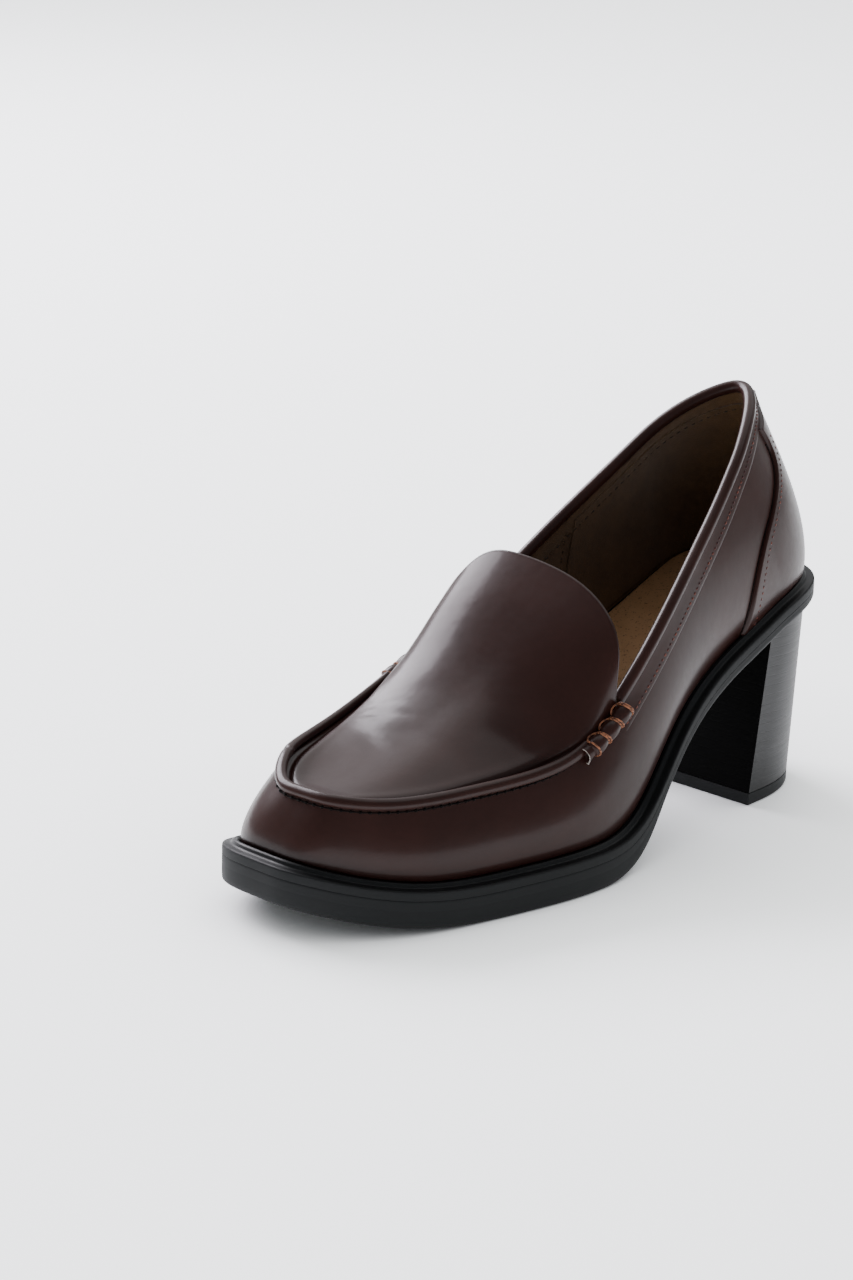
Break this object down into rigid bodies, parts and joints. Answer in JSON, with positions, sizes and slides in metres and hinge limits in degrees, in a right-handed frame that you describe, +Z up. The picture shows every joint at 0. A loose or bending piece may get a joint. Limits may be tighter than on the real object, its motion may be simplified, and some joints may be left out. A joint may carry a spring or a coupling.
{
  "type": "loafer pump",
  "caption": "Left loafer pump: hollow moccasin upper with apron roll, wrapped side bars and rolled collar, platform sole with raised waist, and a stacked block heel.",
  "frame": {"origin": "on the floor under the middle of the shoe's outline", "axes": "+Z up, the toe points towards -Y, and the wearer's outer side is +X"},
  "size_m": [0.0924, 0.2524, 0.144],
  "materials": {
    "burgundy_leather": "polished smooth dark burgundy brown",
    "tan_leather": "matt tan brown sock",
    "black_rand": "glossy black",
    "black_rubber": "satin black",
    "black_stack": "satin black with faint stack lines"
  },
  "bodies": {
    "root": {"upper": "burgundy_leather", "counter": "burgundy_leather", "collar_strip": "burgundy_leather", "back_tab": "burgundy_leather", "apron_roll": "burgundy_leather", "collar_roll": "burgundy_leather", "kicker_outer": "burgundy_leather", "kicker_inner": "burgundy_leather", "insole": "tan_leather", "welt": "black_rand", "outsole": "black_rubber", "heel_block": "black_stack", "heel_toplift": "black_rubber"}
  },
  "joints": []
}
